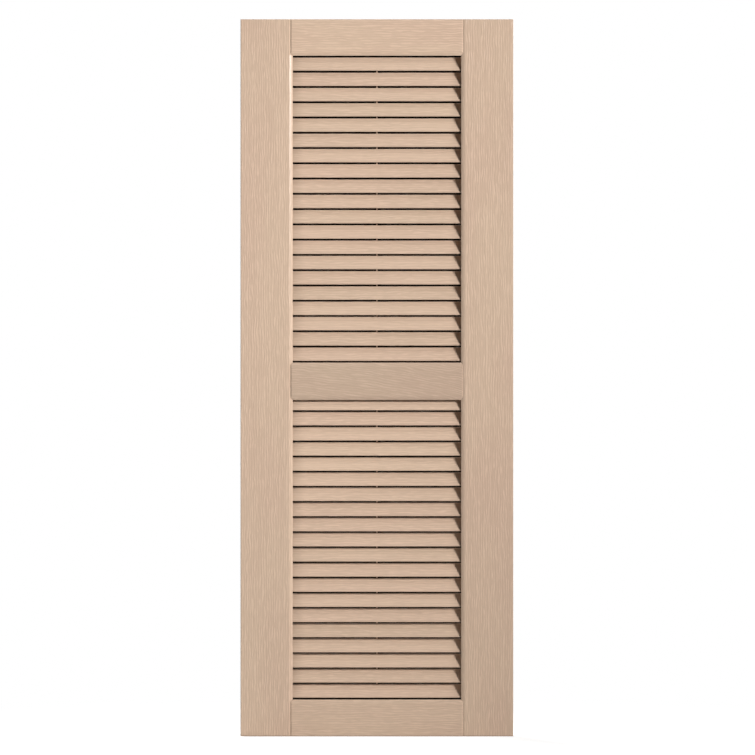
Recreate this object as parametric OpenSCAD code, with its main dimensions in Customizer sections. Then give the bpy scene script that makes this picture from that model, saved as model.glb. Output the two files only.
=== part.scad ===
// Louvred shutter panel: two stiles, three rails and four louvre inserts, all moulded.
// Millimetres. X runs across the panel, the front looks towards -Y and Z is up.
// The middle of the panel's foot is the origin, halfway through its thickness.

/* [Panel] */
// Overall width
panel_w = 376.5; // [320:0.5:460]
// Overall height
panel_h = 990; // [800:1:1400]
// Overall thickness, from the front face to the wall
panel_d = 28; // [26:0.5:40]

/* [Frame] */
// Width of a stile, out to the edge of the louvre opening
stile_w = 72; // [64:0.5:90]
// Height of the top rail
top_rail_h = 50.2; // [46:0.1:90]
// Height of the mid rail
mid_rail_h = 51.6; // [46:0.1:90]
// Height of the bottom rail
bottom_rail_h = 50.7; // [46:0.1:90]
// Height of the mid rail's centre line above the foot
mid_rail_z = 490.2; // [300:0.2:700]
// Width of the rounded edge around the louvre openings
edge_w = 5.2; // [4:0.1:7]
// Depth of the rounded edge
edge_d = 2.3; // [1.2:0.1:2.5]
// Radius of the rounded edge
edge_round_r = 14; // [9:0.5:30]
// How far a rail's flat face runs out over the stile's rounded edge
rail_reach = 1; // [0.25:0.25:2]
// How far the stile's lip overhangs the side of an insert
lip_reach = 6; // [2:0.25:8]
// Radius of the panel's outer front edges
corner_r = 0.75; // [0.5:0.25:2.75]

/* [Louvres] */
// Height from one louvre to the next in the upper opening
upper_pitch = 21.1; // [17:0.1:28]
// Height from one louvre to the next in the lower opening
lower_pitch = 20.9; // [17:0.1:28]
// Lean of a louvre from upright, in degrees
louvre_lean = 31; // [15:1:40]
// Thickness of a louvre
louvre_t = 2.6; // [2:0.1:3.6]
// Open height between a louvre's nose and the top of the next louvre
louvre_gap = 2.25; // [1:0.25:4]
// Depth of the louvres' noses behind the front face
nose_depth = 4.5; // [4:0.25:7]
// Louvres on the upper one of the two inserts in the upper opening
upper_split = 8; // [2:1:14]
// Louvres on the upper one of the two inserts in the lower opening
lower_split = 4; // [2:1:14]
// Thickness of the upright rib that ties the louvres together
centre_rib_t = 2; // [1.5:0.1:4]

/* [Walls] */
// Thickness of the front skin of stiles and rails
skin_t = 3.2; // [2.8:0.1:3.6]
// Thickness of the panel's outer side, top and bottom walls
outer_wall_t = 3; // [2:0.1:5]
// Thickness of the inner walls of stiles, rails and inserts
wall_t = 2.5; // [1.8:0.1:3.5]
// Thickness of the cross ribs in the hollow of a stile
rib_t = 2; // [1.2:0.1:4]
// Cross ribs beside each louvre opening
ribs_per_opening = 4; // [2:1:6]
// Height of the ribs above the front skin
rib_rise = 15; // [8:0.5:17]

/* [Joints between the pieces] */
// Height of the box beam behind a rail
beam_h = 25; // [18:0.5:30]
// Depth of the beam's rear web behind the front face
web_depth = 14.5; // [12:0.25:17]
// Length of the beam's tongue inside the stile
tongue_l = 40; // [38:0.5:50]
// Distance of a tongue's first screw from the stile's inner wall
tongue_screw_in = 13; // [10:0.5:16]
// Distance between a tongue's two screws
tongue_screw_step = 20; // [12:0.5:20]
// Width of the flange along each side of an insert
flange_w = 12; // [11:0.25:16]
// Height of insert held by one screw on each side
screw_spacing = 150; // [90:5:240]
// Diameter of a screw's shank
screw_d = 2.5; // [2:0.1:3.2]
// Length of a screw under its head
screw_l = 11; // [9:0.25:12]
// Diameter of a screw's head
head_d = 5.6; // [4.6:0.1:6.6]
// Height of a screw's head
head_h = 1.8; // [1.2:0.1:2.4]
// Length of the cross slot in a screw's head
slot_l = 3.4; // [2.4:0.1:4.2]
// Width of the cross slot
slot_w = 0.8; // [0.5:0.1:1.2]
// Depth of the cross slot
slot_d = 1.1; // [0.5:0.1:1.4]
// Diameter of the bosses that take the screws
boss_d = 7; // [6:0.1:9]

/* [Fits] */
// Gap at a seam between two pieces
seam = 0.2; // [0.1:0.05:0.3]
// Free height between an insert's end and a rail's beam
insert_clear = 2; // [1:0.25:4]
// Free depth between a screw's head and the wall
head_clear = 1.7; // [0.5:0.1:3]
// Extra diameter of a pilot hole over the screw
pilot_fit = 0.1; // [0.05:0.05:0.3]
// Extra diameter of a through hole over the screw
through_fit = 0.5; // [0.3:0.1:0.8]
// Free depth of a pilot hole past the screw's tip
pilot_spare = 1; // [0.5:0.1:1.5]

/* [Hidden] */
$fn = 48;
// Overlap of joined solids, and overrun of cuts
eps = 0.5;
// Preview colours
plastic = [0.82, 0.71, 0.62];
steel = [0.72, 0.73, 0.74];

// Half width of the louvre opening
open_a = panel_w / 2 - stile_w;

// Centre of the rounded edge's arc, from where it leaves the face: towards the opening, and depth
edge_chord = norm([edge_w, edge_d]);
edge_rise = sqrt(pow(edge_round_r, 2) - pow(edge_chord / 2, 2)) / edge_chord;
edge_centre = [edge_w / 2 - edge_rise * edge_d, edge_d / 2 + edge_rise * edge_w];

// Side plate of an insert, under the stile's lip, and the stile's inner wall beside it
plate_x = open_a + lip_reach;
inner_wall_x = plate_x + wall_t + seam;
hollow_x = inner_wall_x + wall_t;

// Depth at which an insert's flange sits on the stile's inner wall
flange_depth = panel_d - head_clear - head_h - wall_t;

// The two louvre openings
lower_z0 = bottom_rail_h;
lower_z1 = mid_rail_z - mid_rail_h / 2;
upper_z0 = mid_rail_z + mid_rail_h / 2;
upper_z1 = panel_h - top_rail_h;

// Centre lines of the rails
bottom_rail_z = bottom_rail_h / 2;
top_rail_z = panel_h - top_rail_h / 2;
rail_zs = [bottom_rail_z, mid_rail_z, top_rail_z];

// How far an insert runs on behind a rail of a given height
function tuck(rail_h) = (rail_h - beam_h) / 2 - insert_clear;

// Louvres in each opening: the topmost may run up behind the rail
lower_n = floor((lower_z1 - lower_z0 + tuck(mid_rail_h)) / lower_pitch);
upper_n = floor((upper_z1 - upper_z0 + tuck(top_rail_h)) / upper_pitch);

// Number of louvres under the joint between the two inserts of an opening
lower_under = lower_n - min(lower_split, lower_n - 1);
upper_under = upper_n - min(upper_split, upper_n - 1);

// Height of the joint between the two inserts of an opening, in the middle of a gap
lower_joint = lower_z0 + lower_under * lower_pitch + louvre_gap / 2;
upper_joint = upper_z0 + upper_under * upper_pitch + louvre_gap / 2;

// Length of a louvre between the centres of its round edges, and depth of its top edge
function blade_l(pitch) = (pitch - louvre_gap - louvre_t) / cos(louvre_lean);
function top_edge_depth(pitch) = nose_depth + louvre_t / 2 + blade_l(pitch) * sin(louvre_lean);

// Each insert: foot, head, lowest point of its first louvre, number of louvres, pitch
lower_nose = lower_z0 + louvre_gap;
upper_nose = upper_z0 + louvre_gap;
inserts = [
  [lower_z0 - tuck(bottom_rail_h), lower_joint - seam / 2, lower_nose, lower_under, lower_pitch],
  [lower_joint + seam / 2, lower_z1 + tuck(mid_rail_h),
    lower_nose + lower_under * lower_pitch, lower_n - lower_under, lower_pitch],
  [upper_z0 - tuck(mid_rail_h), upper_joint - seam / 2, upper_nose, upper_under, upper_pitch],
  [upper_joint + seam / 2, upper_z1 + tuck(top_rail_h),
    upper_nose + upper_under * upper_pitch, upper_n - upper_under, upper_pitch]
];

// Heights of the flange screws of one insert
function screw_count(s) = max(1, round((s[1] - s[0]) / screw_spacing));
function screw_zs(s) = [
  for (i = [0 : screw_count(s) - 1]) s[0] + (i + 0.5) * (s[1] - s[0]) / screw_count(s)
];

// Screws through the flanges and through the tongues of the rails
flange_screw_x = hollow_x + boss_d / 2 - eps;
flange_screw_zs = [for (s = inserts) for (z = screw_zs(s)) z];
tongue_screw_xs = [for (i = [0, 1]) hollow_x + tongue_screw_in + i * tongue_screw_step];
pilot_l = screw_l - wall_t + pilot_spare;

// Y of a depth behind the front face
function at(depth) = depth - panel_d / 2;

// Block between two corners given as x, depth and z
module block(from, to) {
  translate([from[0], at(from[1]), from[2]])
    cube([to[0] - from[0], to[1] - from[1], to[2] - from[2]]);
}

// Round bar that runs back from a depth
module bar(x, z, depth, l, d) {
  translate([x, at(depth), z])
    rotate([-90, 0, 0])
      cylinder(d = d, h = l);
}

// What rounds the front edge along the foot or the head of the panel
module end_edge_cut(head) {
  edge_z = head ? panel_h : 0;
  centre_z = head ? panel_h - corner_r : corner_r;
  difference() {
    translate([-panel_w, at(-eps), head ? centre_z : edge_z - eps])
      cube([2 * panel_w, corner_r + eps, corner_r + eps]);
    translate([-2 * panel_w, at(corner_r), centre_z])
      rotate([0, 90, 0])
        cylinder(r = corner_r, h = 4 * panel_w);
  }
}

// Disc whose arc is the rounded edge, with the edge starting at the origin
module edge_disc(grow = 0) {
  translate(edge_centre)
    circle(r = edge_round_r + grow, $fn = 240);
}

// Disc of the right stile's rounded edge, in plan
module stile_edge_disc(grow = 0) {
  translate([open_a + edge_w, at(0)])
    mirror([1, 0])
      edge_disc(grow);
}

// Section of the right stile: front skin with its rounded edge, outer wall and inner wall
module stile_section() {
  polygon([
    [open_a, at(edge_d)], [open_a + edge_w, at(0)], [panel_w / 2 - corner_r, at(0)],
    [panel_w / 2, at(corner_r)], [panel_w / 2, at(skin_t)], [open_a, at(skin_t)]
  ]);
  intersection() {
    stile_edge_disc();
    translate([open_a, at(0)])
      square([edge_w, edge_d]);
  }
  intersection() {
    translate([panel_w / 2 - corner_r, at(corner_r)])
      circle(r = corner_r);
    translate([panel_w / 2 - corner_r, at(0)])
      square(corner_r);
  }
  translate([panel_w / 2 - outer_wall_t, at(corner_r)])
    square([outer_wall_t, panel_d - corner_r]);
  translate([inner_wall_x, at(skin_t - eps)])
    square([wall_t, flange_depth - skin_t + eps]);
}

// Cross ribs in the hollow of the right stile, spread along one opening
module stile_ribs(z0, z1) {
  step = (z1 - z0) / ribs_per_opening;
  for (i = [0 : ribs_per_opening - 1]) {
    rib_z = z0 + (i + 0.5) * step;
    block(
      [hollow_x - eps, skin_t - eps, rib_z - rib_t / 2],
      [panel_w / 2 - outer_wall_t + eps, skin_t + rib_rise, rib_z + rib_t / 2]
    );
  }
}

// Right stile, hollow at the back, with bosses for the screws and slots for the tongues
module stile() {
  difference() {
    union() {
      linear_extrude(height = panel_h)
        stile_section();
      for (z = [0, panel_h - outer_wall_t])
        block(
          [hollow_x - eps, skin_t - eps, z],
          [panel_w / 2 - eps, panel_d, z + outer_wall_t]
        );
      stile_ribs(lower_z0, lower_z1);
      stile_ribs(upper_z0, upper_z1);
      for (z = flange_screw_zs)
        bar(flange_screw_x, z, skin_t - eps, flange_depth - skin_t + eps, boss_d);
      for (x = tongue_screw_xs)
        for (z = rail_zs)
          bar(x, z, skin_t - eps, web_depth - skin_t + eps, boss_d);
    }
    end_edge_cut(false);
    end_edge_cut(true);
    for (z = flange_screw_zs)
      bar(flange_screw_x, z, flange_depth - pilot_l, pilot_l + eps, screw_d + pilot_fit);
    for (x = tongue_screw_xs)
      for (z = rail_zs)
        bar(x, z, web_depth - pilot_l, pilot_l + eps, screw_d + pilot_fit);
    for (z = rail_zs)
      block(
        [inner_wall_x - eps, web_depth - seam, z - beam_h / 2 - seam],
        [hollow_x + eps, web_depth + wall_t + seam, z + beam_h / 2 + seam]
      );
  }
}

module left_stile() {
  color(plastic)
    mirror([1, 0, 0])
      stile();
}

module right_stile() {
  color(plastic)
    stile();
}

// Plan of a rail's front skin: each rounded end laps over the rounded edge of its stile
module rail_plan() {
  end_a = open_a - seam;
  translate([-end_a, at(0)])
    square([2 * end_a, skin_t]);
  for (side = [0, 1])
    mirror([side, 0])
      difference() {
        intersection() {
          translate([end_a - eps, at(0)])
            square([edge_w + rail_reach, edge_d]);
          translate([open_a + rail_reach, at(0)])
            edge_disc();
        }
        stile_edge_disc(seam);
      }
}

// What rounds the long edge of a rail; side is 0 at an upper edge and 1 at a lower edge
module rail_edge_cut(edge_z, side) {
  translate([-panel_w, 0, edge_z])
    mirror([0, 0, side])
      rotate([90, 0, 90])
        linear_extrude(height = 2 * panel_w)
          translate([at(0), -edge_w])
            difference() {
              translate([-eps, 0])
                square([edge_d + 2 * eps, edge_w + eps]);
              mirror([1, -1])
                edge_disc();
            }
}

// Box beam behind a rail; its web runs on as a tongue into each stile
module rail_beam(rail_z) {
  end_a = open_a - seam;
  for (z = [rail_z - beam_h / 2, rail_z + beam_h / 2 - wall_t])
    block([-end_a, skin_t - eps, z], [end_a, web_depth + wall_t, z + wall_t]);
  tongue_a = hollow_x + tongue_l;
  difference() {
    block(
      [-tongue_a, web_depth, rail_z - beam_h / 2],
      [tongue_a, web_depth + wall_t, rail_z + beam_h / 2]
    );
    for (side = [-1, 1])
      for (x = tongue_screw_xs)
        bar(side * x, rail_z, web_depth - eps, wall_t + 2 * eps, screw_d + through_fit);
  }
}

// Wall along the foot or the head of the panel, closing the notch beside each stile
module rail_outer_wall(z) {
  block([seam - open_a, skin_t - eps, z], [open_a - seam, panel_d, z + outer_wall_t]);
  wall_a = inner_wall_x - seam;
  block([-wall_a, skin_t + seam, z], [wall_a, panel_d, z + outer_wall_t]);
}

module top_rail() {
  color(plastic)
    difference() {
      union() {
        translate([0, 0, upper_z1])
          linear_extrude(height = top_rail_h)
            rail_plan();
        rail_beam(top_rail_z);
        rail_outer_wall(panel_h - outer_wall_t);
      }
      rail_edge_cut(upper_z1, 1);
      end_edge_cut(true);
    }
}

module mid_rail() {
  color(plastic)
    difference() {
      union() {
        translate([0, 0, lower_z1])
          linear_extrude(height = mid_rail_h)
            rail_plan();
        rail_beam(mid_rail_z);
      }
      rail_edge_cut(lower_z1, 1);
      rail_edge_cut(upper_z0, 0);
    }
}

module bottom_rail() {
  color(plastic)
    difference() {
      union() {
        linear_extrude(height = bottom_rail_h)
          rail_plan();
        rail_beam(bottom_rail_z);
        rail_outer_wall(0);
      }
      rail_edge_cut(lower_z0, 0);
      end_edge_cut(false);
    }
}

// Section of one louvre with its lowest point at height 0
module louvre_section(pitch) {
  translate([at(nose_depth + louvre_t / 2), louvre_t / 2])
    rotate(-louvre_lean) {
      circle(d = louvre_t);
      translate([-louvre_t / 2, 0])
        square([louvre_t, blade_l(pitch)]);
      translate([0, blade_l(pitch)])
        circle(d = louvre_t);
    }
}

// One louvre insert: louvres, a side plate with its flange at each end, and the centre rib
module insert(s) {
  foot = s[0];
  head = s[1];
  nose = s[2];
  count = s[3];
  pitch = s[4];
  plate_a = plate_x + wall_t;
  flange_back = flange_depth + wall_t;
  rib_foot = nose + louvre_t;
  rib_head = nose + count * pitch - louvre_gap - louvre_t / 2;
  difference() {
    union() {
      for (i = [0 : count - 1])
        translate([-plate_x - eps, 0, nose + i * pitch])
          rotate([90, 0, 90])
            linear_extrude(height = 2 * (plate_x + eps))
              louvre_section(pitch);
      for (side = [0, 1])
        mirror([side, 0, 0]) {
          block([plate_x, skin_t + seam, foot], [plate_a, flange_back, head]);
          block([plate_x, flange_depth, foot], [plate_a + flange_w, flange_back, head]);
        }
      block(
        [-centre_rib_t / 2, top_edge_depth(pitch), rib_foot],
        [centre_rib_t / 2, flange_back, rib_head]
      );
    }
    for (side = [-1, 1])
      for (z = screw_zs(s))
        bar(side * flange_screw_x, z, flange_depth - eps, wall_t + 2 * eps, screw_d + through_fit);
  }
}

module lower_insert_bottom() {
  color(plastic)
    insert(inserts[0]);
}

module lower_insert_top() {
  color(plastic)
    insert(inserts[1]);
}

module upper_insert_bottom() {
  color(plastic)
    insert(inserts[2]);
}

module upper_insert_top() {
  color(plastic)
    insert(inserts[3]);
}

// One pan-head screw driven from the back, its head seated at a depth
module screw(x, z, seat_depth) {
  difference() {
    union() {
      bar(x, z, seat_depth - screw_l, screw_l + eps, screw_d);
      bar(x, z, seat_depth, head_h, head_d);
    }
    for (turn = [0, 90])
      translate([x, at(seat_depth + head_h - slot_d), z])
        rotate([0, turn, 0])
          translate([-slot_l / 2, 0, -slot_w / 2])
            cube([slot_l, slot_d + eps, slot_w]);
  }
}

module screws() {
  color(steel)
    for (side = [-1, 1]) {
      for (z = flange_screw_zs)
        screw(side * flange_screw_x, z, flange_depth + wall_t);
      for (x = tongue_screw_xs)
        for (z = rail_zs)
          screw(side * x, z, web_depth + wall_t);
    }
}

left_stile();
right_stile();
top_rail();
mid_rail();
bottom_rail();
upper_insert_top();
upper_insert_bottom();
lower_insert_top();
lower_insert_bottom();
screws();
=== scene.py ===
"""Looks and studio of a louvred shutter panel in moulded, wood-grained plastic.

Metres, in the frame of the CAD part: X across, the front looks towards -Y, Z up.
"""
import math

import bpy
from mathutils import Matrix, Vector


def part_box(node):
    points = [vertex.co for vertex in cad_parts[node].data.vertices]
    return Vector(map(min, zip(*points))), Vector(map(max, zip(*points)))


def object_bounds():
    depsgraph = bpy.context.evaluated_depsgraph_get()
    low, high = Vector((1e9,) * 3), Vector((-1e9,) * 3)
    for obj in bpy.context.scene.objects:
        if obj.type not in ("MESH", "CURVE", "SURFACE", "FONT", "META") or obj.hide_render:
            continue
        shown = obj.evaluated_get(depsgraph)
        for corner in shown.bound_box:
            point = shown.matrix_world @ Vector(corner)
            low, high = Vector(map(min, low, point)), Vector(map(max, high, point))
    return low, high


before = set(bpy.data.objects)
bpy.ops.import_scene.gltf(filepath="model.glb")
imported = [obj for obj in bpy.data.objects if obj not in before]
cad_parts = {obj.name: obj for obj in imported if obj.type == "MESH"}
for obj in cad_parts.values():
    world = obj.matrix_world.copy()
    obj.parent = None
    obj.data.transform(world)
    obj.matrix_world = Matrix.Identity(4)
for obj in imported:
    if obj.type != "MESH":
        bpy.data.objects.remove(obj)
cad_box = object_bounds()
MM = 0.001

# Places taken from the frame
panel_low, panel_high = cad_box
panel_h = panel_high.z - panel_low.z
opening_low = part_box("lower_insert_bottom")[0]
opening_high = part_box("upper_insert_top")[1]
rail_boxes = [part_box(name) for name in ("top_rail", "mid_rail", "bottom_rail")]
stile_edge_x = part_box("right_stile")[0].x

# Camera: level and square to the panel, with a long lens
PICTURE_PX = 755
SENSOR = 36.0
CAMERA_DISTANCE = 8.0
PX_SIZE = 1.3804 * MM
PANEL_CENTRE_PX = (376.9, 377.8)

# Key light: a softbox to the right of the camera, a little above the panel's head.
# It is turned away to the left and its beam is narrow, which evens the light across the panel.
KEY_AZIMUTH = 41.5
KEY_DISTANCE = 3.5
KEY_HEIGHT = 1.32
KEY_SIZE = (0.8, 0.45)
KEY_POWER = 37.2
KEY_AIM = (-2.2, 0.0, 0.42)
KEY_SPREAD = 67.0

# Weak light from above the front, which the louvres' noses keep off the louvres below them
UPPER_POSITION = (1.0, -0.85, 1.95)
UPPER_AIM = (0.0, 0.0, 0.6)
UPPER_SIZE = (0.5, 0.5)
UPPER_POWER = 8.0

# Soft light for the left side and the back, high enough to pass the louvres' gaps to the floor
REAR_POSITION = (-1.2, 2.4, 2.8)
REAR_AIM = (0.0, 0.2, 0.5)
REAR_SIZE = (1.2, 1.2)
REAR_POWER = 24.0
REAR_SPREAD = 70.0

# The world is white where it is seen or mirrored, and a weak fill for everything else
FILL_STRENGTH = 0.008

# Floor: a pale strip close to the panel and a duller one farther out, each with its own glow for
# the camera. Then it fades to white. Distances are from the panel's foot.
FLOOR_RADIUS = 3.0
FLOOR_SIDES = 96
FLOOR_NEAR = (0.70, 0.70, 0.70)
FLOOR_FAR = (0.40, 0.40, 0.40)
FLOOR_GLOW = (0.62, 0.76)
FLOOR_STEP = (0.08, 0.25)
FLOOR_STRETCH = (0.5, 1.0, 1.0)
FLOOR_MOTTLE_SIZE = (25 * MM, 25 * MM)
FLOOR_MOTTLE = 0.05
FLOOR_FADE = (0.25, 0.9)

# Dark card behind the louvres, painted shade seen through their gaps: distance in front of the
# panel's back, and reach past the openings
SHADE_CARD_COLOUR = (0.008, 0.006, 0.005)
CARD_INSET = 1.5 * MM
CARD_REACH = 12 * MM

# Colours of the plastic, linear, in the valleys and on the ridges of its grain; then the painted
# highlight of edges, the painted shade of recesses, and the back's darker colours, which are painted
# shade
PLASTIC_VALLEY = (0.575, 0.431, 0.324)
PLASTIC_RIDGE = (0.680, 0.517, 0.396)
PLASTIC_EDGE_HIGHLIGHT = (0.760, 0.610, 0.480)
PLASTIC_RECESS_SHADE = (0.360, 0.255, 0.183)
PLASTIC_BACK_SHADE = (0.450, 0.332, 0.245)
PLASTIC_BACK_SHADE_PALE = (0.520, 0.388, 0.290)
PINKER = (1.008, 0.992, 0.992)
YELLOWER = (0.995, 1.003, 0.987)
PLASTIC_ROUGHNESS = (0.20, 0.28)
ROUGHNESS_RELIEF = (0.0, 0.7)
PLASTIC_SPECULAR = (0.0, 0.11)
PLASTIC_MATTNESS = 0.6

# Tone of each piece against the stiles
TOP_RAIL_TONE = 1.03
MID_RAIL_TONE = 0.89
BOTTOM_RAIL_TONE = 0.99
UPPER_LOUVRE_TONE = 0.975
LOWER_LOUVRE_TONE = 1.01

# Grain of the plastic: width and length of its marks
RIDGE_PITCH = 3.4 * MM
RIDGE_JITTER = 1.7
RIDGE_JITTER_SIZE = (5 * MM, 26 * MM)
BREAK_SIZE = (4 * MM, 14 * MM)
FINE_SIZE = (0.9 * MM, 12 * MM)
PORE_SIZE = (1.3 * MM, 12 * MM)
BAND_SIZE = (9 * MM, 260 * MM)
CLOUD_SIZE = (70 * MM, 240 * MM)
WANDER_SIZE = (18 * MM, 40 * MM)
WANDER = 2.2 * MM

# Noise level at which marks start and are full; a ridge keeps some of its height where it breaks
BREAK_LEVELS = (0.35, 0.65)
BREAK_HEIGHTS = (0.35, 1.0)
PORE_LEVELS = (0.56, 0.70)
CLOUD_LEVELS = (0.3, 0.7)

# Share of each kind of mark in the relief, and of the relief and others in the shade
RIDGE_RELIEF = 0.60
FINE_RELIEF = 0.35
PORE_RELIEF = -0.15
RELIEF_SHADE = 0.60
BAND_SHADE = 0.12
CLOUD_SHADE = 0.10
LOUVRE_SHADE = 0.14
SHADE_LEVELS = (0.05, 0.65)
GRAIN_RELIEF = 0.28 * MM

# Fine moulded skin of the back: size of its dimples, and their depth against the grain's
BACK_PEEL_SIZE = (1.4 * MM, 1.4 * MM)
BACK_PEEL = 0.12

# How far a surface must look forward for the grain to start and to be full, and back to take the
# back's darker colour, which is painted shade
LOUVRE_EMBOSSED = (-0.25, -0.55)
FRAME_EMBOSSED = (-0.94, -0.99)
BACK_SHADED = (0.05, 0.40)

# Recesses get painted shade, a deeper tone, and have less sheen: reach of the test for them,
# strength of the painted shade, openness at which it is full and gone, and openness at which the
# sheen is gone and full
LOUVRE_RECESS_SHADE = {"reach": 20 * MM, "strength": 0.20, "tone": (0.20, 0.75), "sheen": (0.20, 0.75)}
FRAME_RECESS_SHADE = {"reach": 2.5 * MM, "strength": 0.90, "tone": (0.55, 1.0), "sheen": (0.85, 1.0)}

# The louvres take painted shade towards their ends, where they meet the stiles: how far it reaches,
# and its strength
END_SHADE_REACH = 18 * MM
END_SHADE_STRENGTH = 0.32

# The frame has no sheen in the seams between rails and stiles: width of the seams, and of their fade
SEAM_WIDTH = 6 * MM
SEAM_FADE = 1 * MM

# Edges are a little rounded and carry a painted highlight, paler here and there: by how far the
# surface turns, and by the clouds
EDGE_SOFTNESS = 0.5 * MM
EDGE_HIGHLIGHT_TURN = (0.01, 0.20)
EDGE_HIGHLIGHT_CLOUDS = (0.2, 0.9)
EDGE_HIGHLIGHT_AMOUNT = (0.1, 0.5)

# Flow of the mid rail's grain: it falls to the right, and falls more steeply there
FLOW_SLOPE = 0.14
FLOW_BEND = 0.3
FLOW_WANDER = 5.0 * MM

# Louvres: lowest point of the first one in each opening, and the step to the next
LOWER_LOUVRES = (52.95 * MM, 20.9 * MM)
UPPER_LOUVRES = (518.25 * MM, 21.1 * MM)

# Zinc plating of the screws, with blotches and turning marks
ZINC_DARK = (0.50, 0.50, 0.47)
ZINC_PALE = (0.70, 0.70, 0.69)
ZINC_BLOTCH_SIZE = (1.1 * MM, 1.1 * MM)
ZINC_MARK_SIZE = (0.2 * MM, 1.1 * MM)
ZINC_MARK_LEVELS = (0.3, 0.7)
ZINC_ROUGHNESS = (0.25, 0.42)
ZINC_RELIEF = 0.02 * MM
ZINC_RELIEF_STRENGTH = 0.4


class Shader:
    """Node tree of one material, with short calls to add and link nodes."""

    def __init__(self, name):
        self.material = bpy.data.materials.new(name)
        self.material.use_nodes = True
        self.tree = self.material.node_tree
        self.tree.nodes.clear()

    def node(self, kind, inputs=None, **settings):
        made = self.tree.nodes.new(kind)
        for key, value in settings.items():
            setattr(made, key, value)
        for key, value in (inputs or {}).items():
            self.feed(value, made.inputs[key])
        return made

    def feed(self, value, socket):
        """Links a socket, or sets a constant."""
        if isinstance(value, bpy.types.NodeSocket):
            self.tree.links.new(value, socket)
        else:
            socket.default_value = value

    def math(self, operation, *values):
        made = self.node("ShaderNodeMath", operation=operation)
        for value, socket in zip(values, made.inputs):
            self.feed(value, socket)
        return made.outputs[0]

    def weigh(self, *terms):
        """Sum of the given values, each times its weight."""
        total = 0.0
        for value, weight in terms:
            total = self.math("MULTIPLY_ADD", value, weight, total)
        return total

    def vector_math(self, operation, *vectors):
        made = self.node("ShaderNodeVectorMath", dict(enumerate(vectors)), operation=operation)
        return made.outputs["Value" if operation in ("DOT_PRODUCT", "LENGTH") else "Vector"]

    def parts(self, vector):
        return self.node("ShaderNodeSeparateXYZ", {0: vector}).outputs

    def vector(self, x=0.0, y=0.0, z=0.0):
        return self.node("ShaderNodeCombineXYZ", {0: x, 1: y, 2: z}).outputs[0]

    def ramp(self, value, low, high, out_low=0.0, out_high=1.0):
        """Smooth step between two levels of a value."""
        made = self.node("ShaderNodeMapRange", interpolation_type="SMOOTHSTEP")
        for socket, item in zip(made.inputs, (value, low, high, out_low, out_high)):
            self.feed(item, socket)
        return made.outputs[0]

    def mix(self, factor, first, second, kind="RGBA"):
        """Blend of two colours, or of two numbers."""
        made = self.node("ShaderNodeMix", data_type=kind)
        sockets = [socket for socket in made.inputs if socket.enabled]
        for socket, value in zip(sockets, (factor, first, second)):
            self.feed(value, socket)
        return [socket for socket in made.outputs if socket.enabled][0]

    def mix_surfaces(self, factor, first, second):
        return self.node("ShaderNodeMixShader", {0: factor, 1: first, 2: second}).outputs[0]

    def noise(self, position, size, detail=2.0):
        """Noise with marks of this width and length; the length lies along Z."""
        width, length = size
        scale = (1 / width, 1 / width, 1 / length)
        mapped = self.node("ShaderNodeMapping", {"Vector": position, "Scale": scale}).outputs[0]
        inputs = {"Vector": mapped, "Scale": 1.0, "Detail": detail, "Roughness": 0.5}
        return self.node("ShaderNodeTexNoise", inputs).outputs[0]

    def ridges(self, position):
        """Even ridges along Z that swell, crowd and part a little."""
        jitter = self.noise(position, RIDGE_JITTER_SIZE, detail=1.0)
        phase = self.weigh((self.parts(position)["X"], 1 / RIDGE_PITCH), (jitter, RIDGE_JITTER))
        wave = self.math("SINE", self.math("MULTIPLY", phase, 2 * math.pi))
        return self.math("MULTIPLY_ADD", wave, 0.5, 0.5)

    def output(self, surface):
        self.node("ShaderNodeOutputMaterial", {"Surface": surface})
        return self.material


def rgba(colour, tone=1.0):
    return (*(tone * part for part in colour), 1.0)


def tinted(colour, tint, tone):
    return rgba([part * shift for part, shift in zip(colour, tint)], tone)


def upright(shader, position):
    """Grain along Z."""
    return position


def across(shader, position):
    """Grain along X."""
    x, y, z = shader.parts(position)
    return shader.vector(z, y, x)


def flowing(shader, position):
    """Grain along X that falls to the right in a gentle curve."""
    x, y, z = shader.parts(position)
    fall = shader.math("MULTIPLY", x, shader.math("MULTIPLY_ADD", x, FLOW_BEND, FLOW_SLOPE))
    return shader.vector(shader.math("ADD", z, fall), y, x)


def distance_out(shader, position):
    """Distance from the panel's centre line, to either side."""
    return shader.math("ABSOLUTE", shader.parts(position)["X"])


def in_seams(shader, position):
    """1 in the seams between rails and stiles, 0 away from them."""
    out = distance_out(shader, position)
    start = shader.ramp(out, stile_edge_x - SEAM_FADE, stile_edge_x)
    end = shader.ramp(out, stile_edge_x + SEAM_WIDTH + SEAM_FADE, stile_edge_x + SEAM_WIDTH)
    z = shader.parts(position)["Z"]
    beside_rail = 0.0
    for low, high in rail_boxes:
        over = shader.ramp(z, low.z, low.z + SEAM_FADE)
        under = shader.ramp(z, high.z, high.z - SEAM_FADE)
        beside_rail = shader.math("MULTIPLY_ADD", over, under, beside_rail)
    return shader.math("MULTIPLY", shader.math("MULTIPLY", start, end), beside_rail)


def painted_end_shade(shader, position):
    """Strength of the painted shade towards a louvre's ends."""
    out = distance_out(shader, position)
    return shader.ramp(out, stile_edge_x - END_SHADE_REACH, stile_edge_x, 0.0, END_SHADE_STRENGTH)


def wandering(shader, along, wander):
    """Place in the grain, which wanders to the side as it runs."""
    sway = shader.math("SUBTRACT", shader.noise(along, WANDER_SIZE, detail=1.0), 0.5)
    offset = shader.vector(shader.math("MULTIPLY", sway, wander))
    return shader.vector_math("ADD", along, offset)


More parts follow.
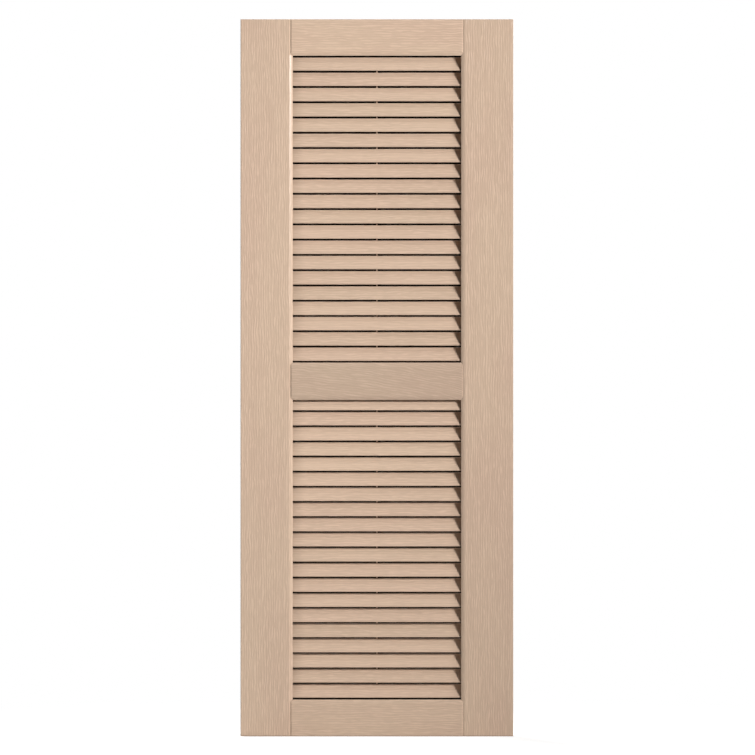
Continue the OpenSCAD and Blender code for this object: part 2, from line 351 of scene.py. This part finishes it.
def grain_relief(shader, grain_at):
    """Height of the embossed grain: broken ridges, fine lines between them, and pores."""
    breaks = shader.noise(grain_at, BREAK_SIZE, detail=1.0)
    height = shader.ramp(breaks, *BREAK_LEVELS, *BREAK_HEIGHTS)
    ridges = shader.math("MULTIPLY", shader.ridges(grain_at), height)
    fine = shader.noise(grain_at, FINE_SIZE, detail=1.0)
    pores = shader.ramp(shader.noise(grain_at, PORE_SIZE, detail=1.0), *PORE_LEVELS)
    return shader.weigh((ridges, RIDGE_RELIEF), (fine, FINE_RELIEF), (pores, PORE_RELIEF))


def louvre_luck(shader, position, louvres):
    """Random shade and hue of each louvre."""
    first, step = louvres
    above = shader.math("SUBTRACT", shader.parts(position)["Z"], first)
    row = shader.math("FLOOR", shader.math("DIVIDE", above, step))
    luck = shader.node("ShaderNodeTexWhiteNoise", {"W": row}, noise_dimensions="1D")
    return luck.outputs["Value"], shader.parts(luck.outputs["Color"])[1]


def grain_colour(shader, shade, hue, tone):
    """Colour between valley and ridge, a little pinker or yellower."""
    pink, yellow = (
        shader.mix(shade, tinted(PLASTIC_VALLEY, tint, tone), tinted(PLASTIC_RIDGE, tint, tone))
        for tint in (PINKER, YELLOWER)
    )
    return shader.mix(hue, pink, yellow)


def painted_edge_highlight(shader, soft_normal, clouds):
    """Strength of the painted highlight along an edge."""
    normal = shader.node("ShaderNodeNewGeometry").outputs["Normal"]
    turned = shader.math("SUBTRACT", 1.0, shader.vector_math("DOT_PRODUCT", soft_normal, normal))
    amount = shader.ramp(clouds, *EDGE_HIGHLIGHT_CLOUDS, *EDGE_HIGHLIGHT_AMOUNT)
    return shader.math("MULTIPLY", shader.ramp(turned, *EDGE_HIGHLIGHT_TURN), amount)


def grained_plastic(name, flow, tone=1.0, wander=WANDER, louvres=None):
    """Moulded plastic: embossed wood grain on what looks forward, a plain moulded back in a darker
    colour that is painted shade.
    """
    shader = Shader(name)
    place = shader.node("ShaderNodeTexCoord")
    position = place.outputs["Object"]
    along = flow(shader, position)
    grain_at = wandering(shader, along, wander)
    relief = grain_relief(shader, grain_at)
    bands = shader.noise(grain_at, BAND_SIZE)
    clouds = shader.ramp(shader.noise(along, CLOUD_SIZE), *CLOUD_LEVELS)

    # Colour of the front
    shade = shader.weigh((relief, RELIEF_SHADE), (bands, BAND_SHADE), (clouds, CLOUD_SHADE))
    hue = clouds
    if louvres:
        luck, hue = louvre_luck(shader, position, louvres)
        shade = shader.weigh((shade, 1.0), (luck, LOUVRE_SHADE))
    colour = grain_colour(shader, shader.ramp(shade, *SHADE_LEVELS), hue, tone)

    # The hollow back has a fine moulded skin, in a darker colour that is painted shade
    facing = shader.parts(place.outputs["Normal"])["Y"]
    peel = shader.noise(position, BACK_PEEL_SIZE, detail=3.0)
    skin = shader.math("MULTIPLY", peel, clouds)
    back = shader.mix(skin, rgba(PLASTIC_BACK_SHADE), rgba(PLASTIC_BACK_SHADE_PALE))
    colour = shader.mix(shader.ramp(facing, *BACK_SHADED), colour, back)

    # Recesses get painted shade, a deeper tone, and have less sheen
    hollow = LOUVRE_RECESS_SHADE if louvres else FRAME_RECESS_SHADE
    sky = shader.node("ShaderNodeAmbientOcclusion", {"Distance": hollow["reach"]}, samples=8)
    openness = sky.outputs["AO"]
    painted_shade = shader.ramp(openness, *hollow["tone"], hollow["strength"], 0.0)
    sheen = shader.ramp(openness, *hollow["sheen"], *PLASTIC_SPECULAR)
    if louvres:
        painted_shade = shader.math("ADD", painted_shade, painted_end_shade(shader, position))
    else:
        seams = in_seams(shader, position)
        sheen = shader.mix(seams, sheen, PLASTIC_SPECULAR[0], kind="FLOAT")
    colour = shader.mix(painted_shade, colour, rgba(PLASTIC_RECESS_SHADE, tone))

    # Edges are a little rounded, and carry a painted highlight that is paler here and there
    soft = shader.node("ShaderNodeBevel", {"Radius": EDGE_SOFTNESS}, samples=6).outputs[0]
    highlight_amount = painted_edge_highlight(shader, soft, clouds)
    colour = shader.mix(highlight_amount, colour, rgba(PLASTIC_EDGE_HIGHLIGHT, tone))

    # Only what looks forward is embossed
    embossed = shader.ramp(facing, *(LOUVRE_EMBOSSED if louvres else FRAME_EMBOSSED))
    dimples = shader.math("MULTIPLY", peel, BACK_PEEL)
    height = shader.mix(embossed, dimples, relief, kind="FLOAT")
    bump = shader.node(
        "ShaderNodeBump", {"Distance": GRAIN_RELIEF, "Height": height, "Normal": soft}
    )
    surface = shader.node(
        "ShaderNodeBsdfPrincipled",
        {
            "Base Color": colour,
            "Diffuse Roughness": PLASTIC_MATTNESS,
            "Roughness": shader.ramp(relief, *ROUGHNESS_RELIEF, *PLASTIC_ROUGHNESS),
            "Specular IOR Level": sheen,
            "Normal": bump.outputs[0],
        },
    )
    return shader.output(surface.outputs[0])


def zinc_steel(name):
    """Bright zinc plating with fine turning marks and a blotchy sheen."""
    shader = Shader(name)
    position = shader.node("ShaderNodeTexCoord").outputs["Object"]
    blotch = shader.noise(position, ZINC_BLOTCH_SIZE, detail=3.0)
    marks = shader.noise(position, ZINC_MARK_SIZE)
    bump = shader.node(
        "ShaderNodeBump",
        {"Strength": ZINC_RELIEF_STRENGTH, "Distance": ZINC_RELIEF, "Height": marks},
    )
    surface = shader.node(
        "ShaderNodeBsdfPrincipled",
        {
            "Base Color": shader.mix(blotch, rgba(ZINC_DARK), rgba(ZINC_PALE)),
            "Metallic": 1.0,
            "Roughness": shader.ramp(marks, *ZINC_MARK_LEVELS, *ZINC_ROUGHNESS),
            "Normal": bump.outputs[0],
        },
    )
    return shader.output(surface.outputs[0])


def dress_nodes():
    """Gives every CAD node its material."""
    looks = {
        "left_stile": grained_plastic("plastic_upright", upright),
        "top_rail": grained_plastic("plastic_top_rail", across, TOP_RAIL_TONE),
        "mid_rail": grained_plastic("plastic_mid_rail", flowing, MID_RAIL_TONE, FLOW_WANDER),
        "bottom_rail": grained_plastic("plastic_bottom_rail", across, BOTTOM_RAIL_TONE),
        "lower_insert_bottom": grained_plastic(
            "plastic_lower_louvres", across, LOWER_LOUVRE_TONE, louvres=LOWER_LOUVRES
        ),
        "upper_insert_bottom": grained_plastic(
            "plastic_upper_louvres", across, UPPER_LOUVRE_TONE, louvres=UPPER_LOUVRES
        ),
        "screws": zinc_steel("zinc_steel"),
    }
    shared = {
        "right_stile": "left_stile",
        "lower_insert_top": "lower_insert_bottom",
        "upper_insert_top": "upper_insert_bottom",
    }
    for name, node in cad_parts.items():
        node.data.materials.clear()
        node.data.materials.append(looks[shared.get(name, name)])


def make_world():
    """White where it is seen or mirrored, a weak fill elsewhere."""
    world = bpy.data.worlds.new("studio")
    bpy.context.scene.world = world
    world.use_nodes = True
    tree = world.node_tree
    tree.nodes.clear()
    path = tree.nodes.new("ShaderNodeLightPath")
    seen = path.outputs["Is Camera Ray"]
    for name in ("Is Glossy Ray", "Is Transmission Ray"):
        either = tree.nodes.new("ShaderNodeMath")
        either.operation = "MAXIMUM"
        tree.links.new(seen, either.inputs[0])
        tree.links.new(path.outputs[name], either.inputs[1])
        seen = either.outputs[0]
    strength = tree.nodes.new("ShaderNodeMapRange")
    strength.inputs["To Min"].default_value = FILL_STRENGTH
    strength.inputs["To Max"].default_value = 1.0
    tree.links.new(seen, strength.inputs["Value"])
    background = tree.nodes.new("ShaderNodeBackground")
    background.inputs["Color"].default_value = rgba((1.0, 1.0, 1.0))
    tree.links.new(strength.outputs[0], background.inputs["Strength"])
    output = tree.nodes.new("ShaderNodeOutputWorld")
    tree.links.new(background.outputs[0], output.inputs["Surface"])


def make_plane(name, corners, material):
    """Flat stage piece with these corners."""
    mesh = bpy.data.meshes.new(name)
    mesh.from_pydata(corners, [], [tuple(range(len(corners)))])
    mesh.materials.append(material)
    plane = bpy.data.objects.new(name, mesh)
    bpy.context.scene.collection.objects.link(plane)
    return plane


def clear_from_behind(shader, surface):
    """Surface that shows only on its front side."""
    behind = shader.node("ShaderNodeNewGeometry").outputs["Backfacing"]
    clear = shader.node("ShaderNodeBsdfTransparent").outputs[0]
    return shader.mix_surfaces(behind, surface, clear)


def floor_material():
    """Pale floor that keeps the panel's shadow and fades to white; it is clear from below."""
    shader = Shader("floor")
    position = shader.node("ShaderNodeTexCoord").outputs["Object"]
    seen = shader.node("ShaderNodeLightPath").outputs["Is Camera Ray"]
    mottle = shader.noise(position, FLOOR_MOTTLE_SIZE, detail=3.0)
    stretched = shader.vector_math("MULTIPLY", position, FLOOR_STRETCH)
    apart = shader.vector_math("LENGTH", stretched)
    far = shader.ramp(shader.weigh((apart, 1.0), (mottle, FLOOR_MOTTLE)), *FLOOR_STEP)

    colour = shader.mix(far, rgba(FLOOR_NEAR), rgba(FLOOR_FAR))
    matt = shader.node("ShaderNodeBsdfDiffuse", {"Color": colour}).outputs[0]
    level = shader.math("MULTIPLY", seen, shader.mix(far, *FLOOR_GLOW, kind="FLOAT"))
    glow = shader.node("ShaderNodeEmission", {"Strength": level}).outputs[0]
    plain = shader.node("ShaderNodeAddShader", {0: matt, 1: glow}).outputs[0]

    away = shader.vector_math("LENGTH", position)
    fade = shader.math("MULTIPLY", shader.ramp(away, *FLOOR_FADE), seen)
    white = shader.node("ShaderNodeEmission", {"Strength": 1.0}).outputs[0]
    surface = shader.mix_surfaces(fade, plain, white)
    return shader.output(clear_from_behind(shader, surface))


def make_floor():
    """Round floor at the panel's foot."""
    turns = [2 * math.pi * i / FLOOR_SIDES for i in range(FLOOR_SIDES)]
    rim = [(FLOOR_RADIUS * math.cos(turn), FLOOR_RADIUS * math.sin(turn), 0.0) for turn in turns]
    make_plane("floor", rim, floor_material())


def make_shade_card():
    """Dark card close behind the louvres, painted shade for their gaps: only the camera sees it, and
    only from the front.
    """
    shader = Shader("painted_shade_card")
    dark = shader.node("ShaderNodeBsdfDiffuse", {"Color": rgba(SHADE_CARD_COLOUR)}).outputs[0]
    material = shader.output(clear_from_behind(shader, dark))
    y = panel_high.y - CARD_INSET
    x0, x1 = opening_low.x, opening_high.x
    z0, z1 = opening_low.z - CARD_REACH, opening_high.z + CARD_REACH
    corners = [(x0, y, z0), (x1, y, z0), (x1, y, z1), (x0, y, z1)]
    card = make_plane("painted_shade_card", corners, material)
    card.visible_diffuse = False
    card.visible_glossy = False
    card.visible_transmission = False
    card.visible_shadow = False


def make_lamp(name, position, aim, size, power, spread=180.0):
    """Rectangular softbox that looks at a point."""
    lamp = bpy.data.lights.new(name, "AREA")
    lamp.shape = "RECTANGLE"
    lamp.size, lamp.size_y = size
    lamp.energy = power
    lamp.spread = math.radians(spread)
    holder = bpy.data.objects.new(name, lamp)
    holder.location = position
    direction = Vector(aim) - Vector(position)
    holder.rotation_euler = direction.to_track_quat("-Z", "Y").to_euler()
    bpy.context.scene.collection.objects.link(holder)


def make_lamps():
    turn = math.radians(KEY_AZIMUTH)
    key_position = (KEY_DISTANCE * math.sin(turn), -KEY_DISTANCE * math.cos(turn), KEY_HEIGHT)
    make_lamp("key", key_position, KEY_AIM, KEY_SIZE, KEY_POWER, KEY_SPREAD)
    make_lamp("upper", UPPER_POSITION, UPPER_AIM, UPPER_SIZE, UPPER_POWER)
    make_lamp("rear", REAR_POSITION, REAR_AIM, REAR_SIZE, REAR_POWER, REAR_SPREAD)


def make_camera():
    """Level camera that puts the panel where the photo has it."""
    lens = bpy.data.cameras.new("camera")
    lens.sensor_width = SENSOR
    lens.lens = SENSOR * CAMERA_DISTANCE / (PICTURE_PX * PX_SIZE)
    lens.clip_end = 100.0
    camera = bpy.data.objects.new("camera", lens)
    middle = PICTURE_PX / 2
    camera.location = (
        (middle - PANEL_CENTRE_PX[0]) * PX_SIZE,
        panel_low.y - CAMERA_DISTANCE,
        panel_h / 2 - (middle - PANEL_CENTRE_PX[1]) * PX_SIZE,
    )
    camera.rotation_euler = (math.pi / 2, 0.0, 0.0)
    bpy.context.scene.collection.objects.link(camera)
    bpy.context.scene.camera = camera


dress_nodes()
make_world()
make_floor()
make_shade_card()
make_lamps()
make_camera()
bpy.context.scene.view_settings.view_transform = "Standard"
